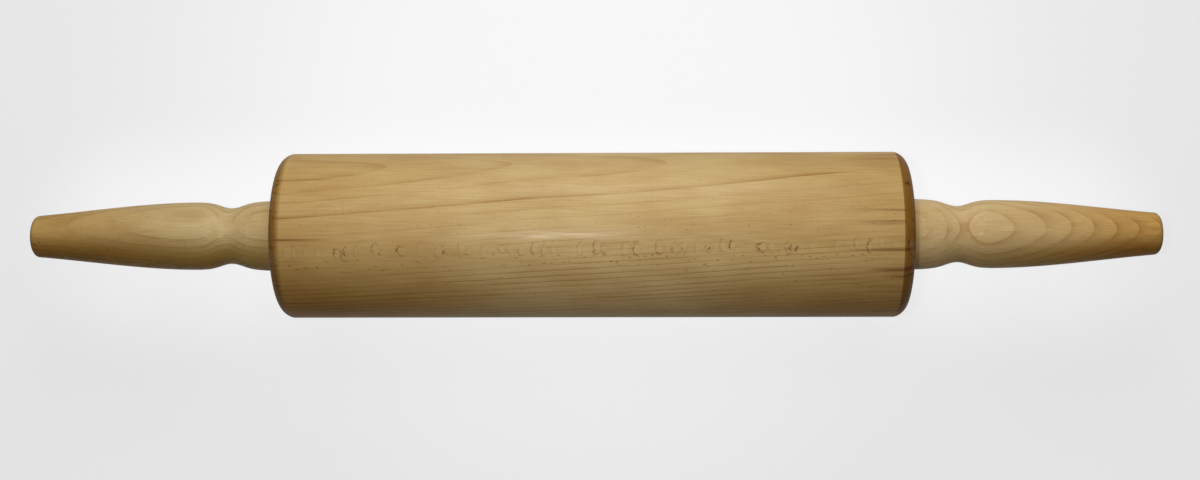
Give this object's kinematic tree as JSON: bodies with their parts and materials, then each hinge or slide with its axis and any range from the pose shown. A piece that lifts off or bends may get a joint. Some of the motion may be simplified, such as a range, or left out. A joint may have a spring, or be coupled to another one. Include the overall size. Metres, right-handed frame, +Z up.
{
  "type": "rolling pin",
  "caption": "Rolling pin with a round-ended wooden barrel that turns freely on a steel axle rod between two turned, tapering wooden handles.",
  "frame": {"origin": "on the table, under the middle of the barrel", "axes": "+X along the pin's axis towards the right handle, +Z up, +Y away from the cook"},
  "size_m": [0.445, 0.065, 0.065],
  "materials": {
    "barrel_beech": "turned, sanded and oiled beech, worn by use",
    "handle_beech": "turned and sanded beech, polished by handling",
    "bush_nylon": "natural nylon, machined",
    "rod_steel": "drawn bright steel rod",
    "washer_steel": "stamped and zinc plated",
    "pin_steel": "plain steel pin, cut ends"
  },
  "bodies": {
    "spindle": {"axle_rod": "rod_steel", "left_handle": "handle_beech", "right_handle": "handle_beech", "left_pin": "pin_steel", "right_pin": "pin_steel", "left_washer": "washer_steel", "right_washer": "washer_steel"},
    "barrel": {"barrel": "barrel_beech", "left_bush": "bush_nylon", "right_bush": "bush_nylon"}
  },
  "joints": [
    {"name": "barrel_spin", "type": "hinge", "parent": "spindle", "child": "barrel", "pos_m": [0, 0, 0.0325], "axis": [1, 0, 0], "continuous": true}
  ]
}
